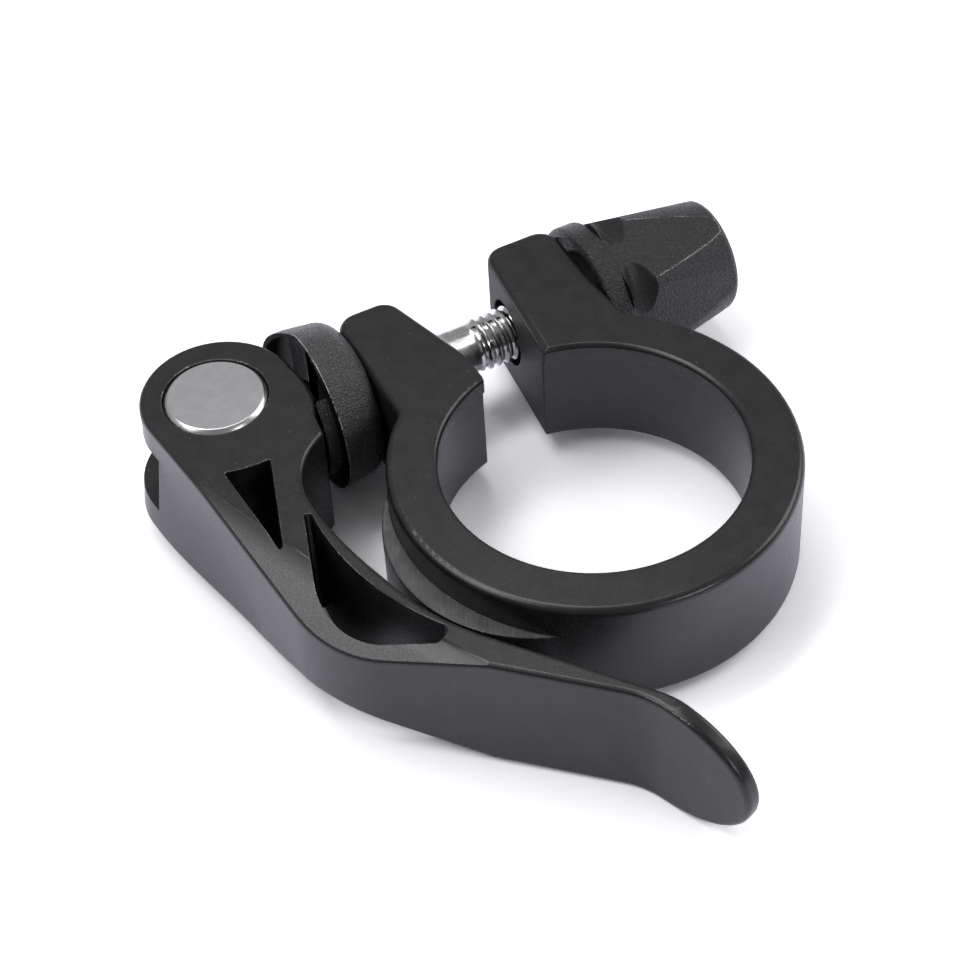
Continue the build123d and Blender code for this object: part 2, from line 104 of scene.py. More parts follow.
class Bench:
    """Blender's own tools, used one at a time as by hand."""

    @staticmethod
    def clear() -> None:
        """Leaves nothing selected."""
        bpy.ops.object.select_all(action="DESELECT")

    @staticmethod
    def pick(obj: Object) -> None:
        """Makes one object the only selected and the active one.

        Args:
            obj: The object to work on.
        """
        Bench.clear()
        obj.select_set(True)
        bpy.context.view_layer.objects.active = obj

    @staticmethod
    @contextmanager
    def editing(obj: Object, keep: bool = False) -> Iterator[None]:
        """Opens an object in edit mode, with its whole mesh selected or with the selection it has.

        Args:
            obj: The mesh object to edit.
            keep: Whether the selection it has stays.

        Returns:
            A context in which the mesh operators act on the object.
        """
        Bench.pick(obj)
        bpy.ops.object.mode_set(mode="EDIT")
        if not keep:
            bpy.ops.mesh.select_mode(type="VERT")
            bpy.ops.mesh.select_all(action="SELECT")
        yield
        bpy.ops.object.mode_set(mode="OBJECT")

    @staticmethod
    def merged_copy(node: str, name: str) -> Object:
        """Copies a CAD node and joins its loose triangles into one clean skin.

        Args:
            node: The CAD node to copy.
            name: The name of the new piece.

        Returns:
            The copy, free of the frame's own marks.
        """
        Bench.pick(bpy.data.objects[node])
        bpy.ops.object.duplicate()
        obj = bpy.context.active_object
        obj.name = obj.data.name = name
        obj.parent = None
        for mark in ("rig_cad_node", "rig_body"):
            del obj[mark]
        obj.data.materials.clear()
        with Bench.editing(obj):
            bpy.ops.mesh.customdata_custom_splitnormals_clear()
            bpy.ops.mesh.remove_doubles(threshold=0.0005 * MM)
            bpy.ops.mesh.dissolve_limited(angle_limit=math.radians(0.2))
        return obj

    @staticmethod
    def modify(obj: Object, kind: str, **settings: object) -> None:
        """Adds a modifier, sets it and applies it.

        Args:
            obj: The object to change.
            kind: Blender's name of the modifier.
            **settings: Values of the modifier's properties.
        """
        Bench.pick(obj)
        modifier = obj.modifiers.new(kind.lower(), kind)
        for key, value in settings.items():
            setattr(modifier, key, value)
        bpy.ops.object.modifier_apply(modifier=modifier.name)

    @staticmethod
    def sharp_edges(obj: Object, angle: float) -> None:
        """Selects the edges sharper than an angle.

        Args:
            obj: The mesh object.
            angle: The angle in degrees.
        """
        with Bench.editing(obj):
            bpy.ops.mesh.select_mode(type="EDGE")
            bpy.ops.mesh.select_all(action="DESELECT")
            bpy.ops.mesh.edges_select_sharp(sharpness=math.radians(angle))

    @staticmethod
    def border_edges(obj: Object, test: FaceTest) -> None:
        """Selects the edges round the faces that pass a test.

        Args:
            obj: The mesh object.
            test: Takes a face's middle in millimetres and its normal.
        """
        Bench.faces(obj, test)
        with Bench.editing(obj, keep=True):
            bpy.ops.mesh.region_to_loop()
            bpy.ops.mesh.select_mode(type="EDGE")

    @staticmethod
    def round_edges(obj: Object, width: float, worn: Material,
                    test: PlaceTest | None = None) -> None:
        """Rounds the selected edges and gives the roundings a material of their own.

        Args:
            obj: The object to change.
            width: Width of the rounding in millimetres.
            worn: The material of the rounded edges.
            test: Picks among the edges by their middle in millimetres, or None for all of them.
        """
        obj.data.materials.append(worn)
        skin = BVHTree.FromObject(obj, bpy.context.evaluated_depsgraph_get())
        if test:
            points = [vertex.co / MM for vertex in obj.data.vertices]
            kept = [edge for edge in obj.data.edges
                    if edge.select and test(sum((points[end] for end in edge.vertices), Vector()) / 2)]
            for element in (*obj.data.vertices, *obj.data.edges, *obj.data.polygons):
                element.select = False
            for edge in kept:
                edge.select = True
                for end in edge.vertices:
                    obj.data.vertices[end].select = True
        with Bench.editing(obj, keep=True):
            bpy.ops.mesh.select_mode(type="EDGE")
            bpy.ops.mesh.bevel(offset=width * MM, segments=2, affect="EDGES", clamp_overlap=False,
                               material=len(obj.data.materials) - 1)
        Bench.pull_back(obj, skin, STRAY_SHARE * width)

    @staticmethod
    def pull_back(obj: Object, skin: BVHTree, room: float) -> None:
        """Pulls corners that a rounding threw out back to the surface as it was.

        Args:
            obj: The rounded object.
            skin: Its surface before the rounding.
            room: How far a corner may lie from that surface, in millimetres.
        """
        for vertex in obj.data.vertices:
            place, _, _, gap = skin.find_nearest(vertex.co)
            if gap > room * MM:
                vertex.co = place

    @staticmethod
    def break_edges(obj: Object, width: float, worn: Material, angle: float = 38.0,
                    test: PlaceTest | None = None) -> None:
        """Rounds the sharp edges a little.

        Args:
            obj: The object to change.
            width: Width of the rounding in millimetres.
            worn: The material of the rounded edges.
            angle: Edges sharper than this, in degrees, are rounded.
            test: Picks among them by their middle in millimetres, or None for all of them.
        """
        Bench.sharp_edges(obj, angle)
        Bench.round_edges(obj, width, worn, test)

    @staticmethod
    def smooth(obj: Object, angle: float = 35.0) -> None:
        """Shades an object smooth up to an angle, with flat faces kept flat.

        Args:
            obj: The object to shade.
            angle: Largest angle between faces that still shade as one, in degrees.
        """
        Bench.pick(obj)
        bpy.ops.object.shade_smooth_by_angle(angle=math.radians(angle))
        Bench.modify(obj, "WEIGHTED_NORMAL", mode="FACE_AREA", weight=80, keep_sharp=True)

    @staticmethod
    def profile(name: str, points: Sequence[tuple[float, float]]) -> Object:
        """Draws an open outline beside the X axis, vertex by vertex.

        Args:
            name: The name of the new piece.
            points: Places along X and distances from it, in millimetres.

        Returns:
            The outline as a chain of edges in the XZ plane.
        """
        Bench.clear()
        bpy.ops.mesh.primitive_plane_add(size=MM)
        obj = bpy.context.active_object
        obj.name = obj.data.name = name
        with Bench.editing(obj):
            bpy.ops.mesh.merge(type="CENTER")
            here = Vector((points[0][0], 0.0, points[0][1])) * MM
            bpy.ops.transform.translate(value=here)
            for along, away in points[1:]:
                there = Vector((along, 0.0, away)) * MM
                bpy.ops.mesh.extrude_region_move(TRANSFORM_OT_translate={"value": there - here})
                here = there
        return obj

    @staticmethod
    def lathe(obj: Object, steps: int) -> None:
        """Turns an outline once round the X axis and closes it.

        Args:
            obj: The outline to turn.
            steps: Number of steps in the full turn.
        """
        with Bench.editing(obj):
            bpy.ops.mesh.spin(steps=steps, angle=math.tau, center=(0, 0, 0), axis=(1, 0, 0))
            bpy.ops.mesh.select_all(action="SELECT")
            bpy.ops.mesh.remove_doubles(threshold=0.001 * MM)
            bpy.ops.mesh.normals_make_consistent(inside=False)

    @staticmethod
    def block(name: str, low: Sequence[float], high: Sequence[float]) -> Object:
        """Makes a block between two corners.

        Args:
            name: The name of the new piece.
            low: The corner with the lowest values, in millimetres.
            high: The corner with the highest values.

        Returns:
            The block.
        """
        Bench.clear()
        bpy.ops.mesh.primitive_cube_add(size=MM)
        obj = bpy.context.active_object
        obj.name = obj.data.name = name
        with Bench.editing(obj):
            bpy.ops.transform.resize(value=[far - near for near, far in zip(low, high)])
            bpy.ops.transform.translate(value=[(near + far) / 2 * MM for near, far in zip(low, high)])
        return obj

    @staticmethod
    def carve(obj: Object, tool: Object, operation: str = "DIFFERENCE") -> None:
        """Cuts an object with another one, or joins it on, and throws the tool away.

        Args:
            obj: The object to change.
            tool: The closed object to cut or join with.
            operation: Blender's name of the boolean operation.
        """
        Bench.modify(obj, "BOOLEAN", object=tool, operation=operation, solver="EXACT")
        bpy.data.objects.remove(tool)

    @staticmethod
    def shift(obj: Object, offset: Triple) -> None:
        """Moves a mesh inside its object.

        Args:
            obj: The object whose mesh moves.
            offset: The move in millimetres.
        """
        with Bench.editing(obj):
            bpy.ops.transform.translate(value=Vector(offset) * MM)

    @staticmethod
    def faces(obj: Object, test: FaceTest) -> int:
        """Selects the faces that pass a test on their middle and normal.

        Args:
            obj: The mesh object.
            test: Takes a face's middle in millimetres and its normal.

        Returns:
            The number of faces selected.
        """
        with Bench.editing(obj):
            bpy.ops.mesh.select_mode(type="FACE")
            bpy.ops.mesh.select_all(action="DESELECT")
        for face in obj.data.polygons:
            face.select = test(face.center / MM, face.normal)
        return sum(face.select for face in obj.data.polygons)

    @staticmethod
    def paint(obj: Object, material: Material, test: FaceTest | None = None) -> None:
        """Gives an object, or the faces that pass a test, a material.

        Args:
            obj: The object to paint.
            material: The material to give.
            test: Picks the faces, or None for all of them.
        """
        obj.data.materials.append(material)
        if test is None:
            return
        count = Bench.faces(obj, test)
        obj.active_material_index = len(obj.data.materials) - 1
        with Bench.editing(obj, keep=True):
            bpy.ops.object.material_slot_assign()
        LOG.info("%s: %d faces in %s", obj.name, count, material.name)


class Board:
    """Adds and links the nodes of one shader tree."""

    def __init__(self, tree: NodeTree) -> None:
        """Starts on a tree, which it empties.

        Args:
            tree: The tree to fill.
        """
        self.tree = tree
        tree.nodes.clear()

    def add(self, kind: str, inputs: dict | None = None, **settings: object) -> Node:
        """Adds a node, sets its properties and fills or links its inputs.

        Args:
            kind: Blender's type name, without the leading ShaderNode.
            inputs: Values or sockets by input name or number.
            **settings: Values of the node's properties.

        Returns:
            The new node.
        """
        family = "NodeGroup" if kind in ("Input", "Output") else "ShaderNode"
        node = self.tree.nodes.new(family + kind)
        for key, value in settings.items():
            setattr(node, key, value)
        for key, value in (inputs or {}).items():
            self.put(node.inputs[key], value)
        return node

    def put(self, socket: NodeSocket, value: object) -> None:
        """Links a socket to an input, or sets the input's own value.

        Args:
            socket: The input to fill.
            value: A socket to link, or a plain value.
        """
        if isinstance(value, NodeSocket):
            self.tree.links.new(value, socket)
        else:
            socket.default_value = value

    def math(self, operation: str, *values: object, clamp: bool = False) -> NodeSocket:
        """Adds a Math node.

        Args:
            operation: Blender's name of the operation.
            *values: Sockets or numbers for its inputs, in order.
            clamp: Whether the result is held between 0 and 1.

        Returns:
            Its result.
        """
        return self.add("Math", dict(enumerate(values)), operation=operation, use_clamp=clamp).outputs[0]

    def ramp(self, value: object, low: float, high: float, to_low: float = 0.0,
             to_high: float = 1.0) -> NodeSocket:
        """Maps a value from one range to another, smoothly and without overshoot.

        Args:
            value: The socket to map.
            low: Where the mapping starts.
            high: Where it ends.
            to_low: The result at the start.
            to_high: The result at the end.

        Returns:
            The mapped value.
        """
        return self.add("MapRange", {"Value": value, "From Min": low, "From Max": high, "To Min": to_low,
                                     "To Max": to_high}, interpolation_type="SMOOTHSTEP").outputs[0]

    def blend(self, share: object, first: object, second: object) -> NodeSocket:
        """Mixes two colours.

        Args:
            share: How much of the second colour shows.
            first: The first colour, as a socket or three parts.
            second: The second colour, in the same way.

        Returns:
            The mixed colour.
        """
        node = self.add("Mix", data_type="RGBA")
        for number, value in ((0, share), (6, first), (7, second)):
            self.put(node.inputs[number], (*value, 1.0) if isinstance(value, tuple) else value)
        return node.outputs[2]

    def noise(self, place: object, scale: object, detail: float, **more: float) -> NodeSocket:
        """Adds a noise texture.

        Args:
            place: Where it is read.
            scale: Its scale.
            detail: Its detail.
            **more: Values of its other inputs.

        Returns:
            Its value.
        """
        inputs = {"Vector": place, "Scale": scale, "Detail": detail, **more}
        return self.add("TexNoise", inputs).outputs["Fac"]

    def group(self, tree: NodeTree, **inputs: object) -> Node:
        """Places a node group.

        Args:
            tree: The group's tree.
            **inputs: Values or sockets by the group's input names.

        Returns:
            The group node.
        """
        return self.add("Group", inputs, node_tree=tree)


class Sheet(Board):
    """Board of one material, with its Principled BSDF and its object coordinates."""

    def __init__(self, material: Material) -> None:
        """Starts a material's tree.

        Args:
            material: The material to fill.
        """
        material.use_nodes = True
        super().__init__(material.node_tree)
        self.shader = self.add("BsdfPrincipled")
        self.add("OutputMaterial", {"Surface": self.shader.outputs["BSDF"]})
        self.place = self.add("TexCoord").outputs["Object"]

    def set(self, name: str, value: object) -> None:
        """Sets or links an input of the shader."""
        self.put(self.shader.inputs[name], value)

    def roughen(self, height: object, strength: float, depth: float, **more: object) -> None:
        """Bends the shader's normal by a height.

        Args:
            height: The height, from 0 to 1.
            strength: How much of the effect shows.
            depth: The depth in millimetres.
            **more: Values or sockets of the bump's other inputs.
        """
        bump = self.add("Bump", {"Strength": strength, "Distance": depth * MM, "Height": height, **more})
        self.set("Normal", bump.outputs["Normal"])


class Effects:
    """Shared shader effects, each built once as a node group."""

    @staticmethod
    def _start(name: str, inputs: dict[str, str],
               outputs: dict[str, str]) -> tuple[Board, Node, Node]:
        """Opens a new group with its sockets.

        Args:
            name: The group's name.
            inputs: Socket kinds by input name.
            outputs: Socket kinds by output name.

        Returns:
            The board, the group's input node and its output node.
        """
        tree = bpy.data.node_groups.new(name, "ShaderNodeTree")
        for side, sockets in (("INPUT", inputs), ("OUTPUT", outputs)):
            for label, kind in sockets.items():
                tree.interface.new_socket(label, in_out=side, socket_type="NodeSocket" + kind)
        board = Board(tree)
        return board, board.add("Input"), board.add("Output")

    @classmethod
    @cache
    def grain(cls) -> NodeTree:
        """Fine blasted grain: a height and a soft mottling."""
        board, given, result = cls._start("fine_grain", {"Place": "Vector", "Size": "Float"},
                                          {"Height": "Float", "Mottle": "Float"})
        place, scale = given.outputs["Place"], board.math("DIVIDE", 1.0, given.outputs["Size"])
        fine = board.noise(place, scale, 2.0, Roughness=0.6)
        coarse = board.noise(place, board.math("MULTIPLY", scale, 0.04), 3.0)
        board.put(result.inputs["Height"], board.ramp(fine, 0.3, 0.7))
        board.put(result.inputs["Mottle"], board.ramp(coarse, 0.3, 0.7))
        return board.tree

    @classmethod
    @cache
    def flecks(cls) -> NodeTree:
        """Sparse small specks, as of dust or bright pinholes."""
        inputs = {"Place": "Vector", "Spacing": "Float", "Share": "Float", "Reach": "Float"}
        board, given, result = cls._start("flecks", inputs, {"Fleck": "Float"})
        scale = board.math("DIVIDE", 1.0, given.outputs["Spacing"])
        cells = board.add("TexVoronoi", {"Vector": given.outputs["Place"], "Scale": scale})
        chance = board.add("SeparateColor", {"Color": cells.outputs["Color"]}).outputs["Red"]
        kept = board.math("LESS_THAN", chance, given.outputs["Share"])
        away = board.math("DIVIDE", cells.outputs["Distance"], given.outputs["Reach"])
        near = board.math("SUBTRACT", 1.0, away, clamp=True)
        board.put(result.inputs["Fleck"], board.math("MULTIPLY", kept, near))
        return board.tree

    @classmethod
    @cache
    def wear(cls) -> NodeTree:
        """Rubbed dots that gather in patches, as along a handled edge."""
        inputs = {"Place": "Vector", "Size": "Float", "Share": "Float"}
        board, given, result = cls._start("rubbed_wear", inputs, {"Bare": "Float"})
        place, scale = given.outputs["Place"], board.math("DIVIDE", 1.0, given.outputs["Size"])
        dots = board.noise(place, scale, 1.0)
        patches = board.noise(place, board.math("MULTIPLY", scale, 0.06), 2.0)
        most = board.math("ADD", dots, board.math("MULTIPLY", patches, 0.5))
        limit = board.math("SUBTRACT", 1.05, board.math("MULTIPLY", given.outputs["Share"], 0.6))
        rubbed = board.math("MULTIPLY", board.math("SUBTRACT", most, limit), 9.0, clamp=True)
        board.put(result.inputs["Bare"], rubbed)
        return board.tree


class Finish(ABC):
    """A finish that makes its own procedural material."""

    name: str

    @abstractmethod
    def nodes(self, sheet: Sheet) -> None:
        """Sets and links the shader of this finish.

        Args:
            sheet: The material's sheet.
        """

    def material(self) -> Material:
        """Makes the finish's material, or gives the one already made."""
        made = bpy.data.materials.get(self.name)
        if made:
            return made
        made = bpy.data.materials.new(self.name)
        self.nodes(Sheet(made))
        return made


@dataclass(frozen=True)
class BlackAnodised(Finish):
    """Satin black anodised aluminium: blasted grain, soft mottling and a few bright pinholes."""

    name: str
    colour: Triple = (0.012, 0.012, 0.0135)
    roughness: float = 0.27
    grain_size: float = 0.09
    grain_depth: float = 0.10
    mottling: float = 0.25
    pinhole: Triple = (0.22, 0.22, 0.23)
    pinhole_spacing: float = 0.9
    pinhole_share: float = 0.10
    pinhole_reach: float = 0.16

    def nodes(self, sheet: Sheet) -> None:
        """Sets and links the shader of this finish.

        Args:
            sheet: The material's sheet.
        """
        grain = sheet.group(Effects.grain(), Place=sheet.place, Size=self.grain_size * MM)
        dust = sheet.group(Effects.flecks(), Place=sheet.place, Spacing=self.pinhole_spacing * MM,
                           Share=self.pinhole_share, Reach=self.pinhole_reach)
        dark, pale = (tuple(share * part for part in self.colour)
                      for share in (1.0 - self.mottling, 1.0 + self.mottling))
        base = sheet.blend(grain.outputs["Mottle"], dark, pale)
        speckle = sheet.math("MULTIPLY", dust.outputs["Fleck"], 0.35)
        sheet.set("Base Color", sheet.blend(speckle, base, self.pinhole))
        sheet.set("Roughness", sheet.ramp(grain.outputs["Height"], 0.0, 1.0,
                                          self.roughness - 0.04, self.roughness + 0.06))
        sheet.roughen(grain.outputs["Height"], self.grain_depth, 0.02)


@dataclass(frozen=True)
class BlastedBand(Finish):
    """Grain of the lever's bevels, which turn out softly from its flats; its pale tone is partly the grain
    and partly a painted reflection, and it fades to dark towards the flats as painted shade of the
    turn-out; sizes in millimetres.
    """

    name: str = "blasted_band_painted_light"
    dark: Triple = (0.020, 0.020, 0.022)
    # pale: partly the band's grain, partly a painted reflection that lightens the bevels.
    pale: Triple = (0.115, 0.114, 0.122)
    flat_level: float = 7.0
    slope: float = 31.0
    turn_out: float = 2.6
    grain_size: float = 0.10

    def nodes(self, sheet: Sheet) -> None:
        """Sets and links the shader of this finish.

        Args:
            sheet: The material's sheet.
        """
        grain = sheet.group(Effects.grain(), Place=sheet.place, Size=self.grain_size * MM)
        level = sheet.math("ABSOLUTE", sheet.add("SeparateXYZ", {"Vector": sheet.place}).outputs["Z"])
        drop = self.turn_out * math.sin(math.radians(self.slope)) * MM
        run = sheet.math("DIVIDE", sheet.math("SUBTRACT", self.flat_level * MM, level), drop, clamp=True)
        lift = sheet.math("SUBTRACT", run, sheet.math("MULTIPLY", sheet.math("MULTIPLY", run, run), 0.5))
        soft = sheet.add("Bump", {"Strength": 1.0, "Height": lift,
                                  "Distance": self.turn_out * math.tan(math.radians(self.slope)) * MM})
        # Painted shade: the pale grain fades to the dark tone near the flats, where the bevel turns out
        # softly.
        speckle = sheet.math("MULTIPLY", grain.outputs["Height"], sheet.ramp(run, 0.0, 1.0, 0.1, 1.0))
        sheet.set("Base Color", sheet.blend(speckle, self.dark, self.pale))
        sheet.set("Roughness", sheet.ramp(run, 0.0, 1.0, 0.28, 0.38))
        sheet.roughen(speckle, 0.25, 0.02, Normal=soft.outputs["Normal"])


@dataclass(frozen=True)
class WornEdge(Finish):
    """Edge of a black piece, rubbed through to a paler tone in rows of dots."""

    name: str
    colour: Triple = (0.016, 0.016, 0.018)
    bare: Triple = (0.30, 0.30, 0.31)
    dot: float = 0.13
    share: float = 0.4
    roughness: float = 0.34

    def nodes(self, sheet: Sheet) -> None:
        """Sets and links the shader of this finish.

        Args:
            sheet: The material's sheet.
        """
        wear = sheet.group(Effects.wear(), Place=sheet.place, Size=self.dot * MM, Share=self.share)
        sheet.set("Base Color", sheet.blend(wear.outputs["Bare"], self.colour, self.bare))
        sheet.set("Roughness", self.roughness)


@dataclass(frozen=True)
class MilledCut(Finish):
    """Milled ledge with the cutter's streaks; its pale tone is partly bare metal and partly a painted
    reflection, and painted light makes it brighter towards higher X.
    """

    name: str = "milled_ledge"
    streak_angle: float = 62.0
    streak_length: float = 2.6
    streak_width: float = 0.22
    painted_light_end: tuple[float, float] = (-0.019, -0.004)
    patch_scale: float = 420.0
    dark: Triple = (0.035, 0.035, 0.037)
    # bare: partly the metal's own tone, partly a painted reflection.
    bare: Triple = (0.30, 0.30, 0.31)

    def nodes(self, sheet: Sheet) -> None:
        """Sets and links the shader of this finish.

        Args:
            sheet: The material's sheet.
        """
        along, across = 1.0 / (self.streak_length * MM), 1.0 / (self.streak_width * MM)
        turn = {"Vector": sheet.place, "Angle": -math.radians(self.streak_angle)}
        turned = sheet.add("VectorRotate", turn, rotation_type="Z_AXIS")
        drawn = sheet.add("Mapping", {"Vector": turned.outputs["Vector"], "Scale": (along, across, along)})
        marks = sheet.noise(drawn.outputs["Vector"], 1.0, 3.0, Roughness=0.5, Distortion=0.5)
        patch = sheet.noise(sheet.place, self.patch_scale, 4.0)
        streak = sheet.ramp(marks, 0.25, 0.75)
        where = sheet.add("SeparateXYZ", {"Vector": sheet.place}).outputs["X"]
        # Painted light and shade: the tone runs from about a third at lower X to full at higher X.
        end = sheet.ramp(where, *self.painted_light_end, 0.35, 1.0)
        tone = sheet.math("MULTIPLY", sheet.ramp(patch, 0.3, 0.65, 0.5, 1.0), end)
        tone = sheet.math("MULTIPLY", sheet.ramp(streak, 0.0, 1.0, 0.45, 1.0), tone)
        sheet.set("Base Color", sheet.blend(tone, self.dark, self.bare))
        sheet.set("Roughness", sheet.ramp(streak, 0.0, 1.0, 0.36, 0.46))
        sheet.roughen(streak, 0.2, 0.015)


@dataclass(frozen=True)
class TurnedSteel(Finish):
    """Bare steel with fine rings left by turning."""

    name: str = "turned_barrel_steel"
    centre: tuple[float, float] = (-29.5, 25.9)
    pitch: float = 0.16
    cloud_scale: float = 700.0
    dark: Triple = (0.66, 0.66, 0.68)
    pale: Triple = (0.71, 0.71, 0.73)

    def nodes(self, sheet: Sheet) -> None:
        """Sets and links the shader of this finish.

        Args:
            sheet: The material's sheet.
        """
        away = (-self.centre[0] * MM, -self.centre[1] * MM, 0.0)
        moved = sheet.add("Mapping", {"Vector": sheet.place, "Location": away}).outputs["Vector"]
        wave = {"Vector": moved, "Scale": RING_SCALE / (self.pitch * MM), "Distortion": 0.4, "Detail": 2.0,
                "Detail Scale": 0.5}
        rings = sheet.add("TexWave", wave, wave_type="RINGS", rings_direction="Z").outputs["Fac"]
        cloud = sheet.ramp(sheet.noise(sheet.place, self.cloud_scale, 3.0), 0.3, 0.7)
        sheet.set("Base Color", sheet.blend(cloud, self.dark, self.pale))
        sheet.set("Metallic", 1.0)
        sheet.set("Roughness", sheet.ramp(rings, 0.0, 1.0, 0.20, 0.27))
        sheet.roughen(rings, 0.12, 0.01)


@dataclass(frozen=True)
class PlatedSteel(Finish):
    """Bright plated steel, faintly clouded."""

    name: str = "plated_steel"
    cloud_scale: float = 900.0
    dark: Triple = (0.62, 0.62, 0.62)
    pale: Triple = (0.82, 0.82, 0.81)

    def nodes(self, sheet: Sheet) -> None:
        """Sets and links the shader of this finish.

        Args:
            sheet: The material's sheet.
        """
        cloud = sheet.noise(sheet.place, self.cloud_scale, 4.0)
        sheet.set("Base Color", sheet.blend(sheet.ramp(cloud, 0.35, 0.65), self.dark, self.pale))
        sheet.set("Metallic", 1.0)
        sheet.set("Roughness", sheet.ramp(cloud, 0.3, 0.7, 0.14, 0.26))


@dataclass(frozen=True)
class BlackSteel(Finish):
    """Dark steel of the nut's insert, a little mottled; its dark tone is partly blackened steel and partly
    painted shade of the recess it sits in.
    """

    name: str = "insert_steel_and_painted_shade"
    # dark, pale: partly blackened steel, partly painted shade of the nut's recess.
    dark: Triple = (0.09, 0.09, 0.095)
    pale: Triple = (0.15, 0.15, 0.155)
    grain_size: float = 0.15

    def nodes(self, sheet: Sheet) -> None:
        """Sets and links the shader of this finish.

        Args:
            sheet: The material's sheet.
        """
        grain = sheet.group(Effects.grain(), Place=sheet.place, Size=self.grain_size * MM)
        sheet.set("Base Color", sheet.blend(grain.outputs["Mottle"], self.dark, self.pale))
        sheet.set("Metallic", 1.0)
        sheet.set("Roughness", sheet.ramp(grain.outputs["Height"], 0.0, 1.0, 0.3, 0.42))


@dataclass(frozen=True)
class GrainedMoulding(Finish):
    """Black moulded plastic with a leathery grain."""

    name: str
    dark: Triple = (0.011, 0.011, 0.012)
    pale: Triple = (0.040, 0.040, 0.044)
    grain_size: float = 0.22
    depth: float = 0.5
    roughness: float = 0.4
    shine: float = 0.5

    def nodes(self, sheet: Sheet) -> None:
        """Sets and links the shader of this finish.

        Args:
            sheet: The material's sheet.
        """
        grain = sheet.group(Effects.grain(), Place=sheet.place, Size=self.grain_size * MM)
        sheet.set("Base Color", sheet.blend(grain.outputs["Height"], self.dark, self.pale))
        sheet.set("Roughness", sheet.ramp(grain.outputs["Height"], 0.0, 1.0,
                                          self.roughness + 0.1, self.roughness - 0.06))
        sheet.set("Specular IOR Level", self.shine)
        sheet.roughen(grain.outputs["Height"], self.depth, 0.08)


def seat(obj: Object, body: Body, slot: Slot, *nodes: str) -> None:
    """Makes a finished piece ride on its body and stand for CAD nodes.

    Args:
        obj: The finished piece.
        body: The body it moves with.
        slot: The record's slot; it is not used.
        *nodes: The CAD nodes it stands for.
    """
    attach(obj, body.value)
    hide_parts(*nodes)
    LOG.info("%s: %d faces, rides on %s", obj.name, len(obj.data.polygons), body.value)


@dataclass
class CollarRing:
    """Split ring with its lugs, stop lip and milled ledge; sizes in millimetres."""

    edge_break: float = 0.12
    ledge_level: float = 2.7
    split_reach: float = 7.0
    lug_root: float = 14.0
    level_room: float = 0.05

    def build(self) -> Object:
        """Builds the ring and dresses it."""
        ring = Bench.merged_copy("collar", "collar_ring")
        Bench.paint(ring, BlackAnodised("black_collar_anodising").material())
        Bench.break_edges(ring, self.edge_break, WornEdge("collar_edges", share=0.22).material())
        Bench.smooth(ring)
        Bench.paint(ring, MilledCut().material(), self.on_ledge)
        sawn = BlackAnodised("sawn_split_anodising", roughness=0.55, grain_size=0.14, grain_depth=0.3)
        Bench.paint(ring, sawn.material(), self.on_split)
        seat(ring, Body.CLAMP, Slot.COLLAR, "collar")
        return ring

    def on_ledge(self, middle: Vector, normal: Vector) -> bool:
        """Tells whether a face lies on the milled ledge."""
        return normal.z > 0.99 and abs(middle.z - self.ledge_level) < self.level_room

    def on_split(self, middle: Vector, normal: Vector) -> bool:
        """Tells whether a face lies on a side of the ring's split."""
        return abs(normal.x) > 0.9 and abs(middle.x) < self.split_reach and middle.y > self.lug_root


@dataclass
class CamLever:
    """Forged lever with its slotted cam head, bevels and cut-outs; sizes in millimetres."""

    edge_break: float = 0.12
    slot_half_height: float = 3.7
    bevel: tuple[float, float] = (207.4, 33.5)
    lead_in: tuple[float, float] = (200.0, 28.0)

    def build(self) -> Object:
        """Builds the lever and dresses it."""
        lever = Bench.merged_copy("lever", "cam_lever")
        Bench.paint(lever, BlackAnodised("black_lever_anodising").material())
        Bench.break_edges(lever, self.edge_break, WornEdge("lever_edges", share=0.3).material(),
                          test=lambda middle: abs(middle.z) > self.slot_half_height)
        Bench.smooth(lever)
        Bench.paint(lever, BlastedBand().material(), self.on_bevel)
        seat(lever, Body.LEVER, Slot.LEVER, "lever")
        return lever

    def on_bevel(self, middle: Vector, normal: Vector) -> bool:
        """Tells whether a face lies on a bevel or its lead-in."""
        for turn, slope in (self.bevel, self.lead_in):
            way = Matrix.Rotation(math.radians(turn), 3, "Z") @ Matrix.Rotation(math.radians(slope), 3, "Y")
            if Vector((normal.x, normal.y, abs(normal.z))).dot(way @ Vector((0, 0, 1))) > 0.995:
                return True
        return False


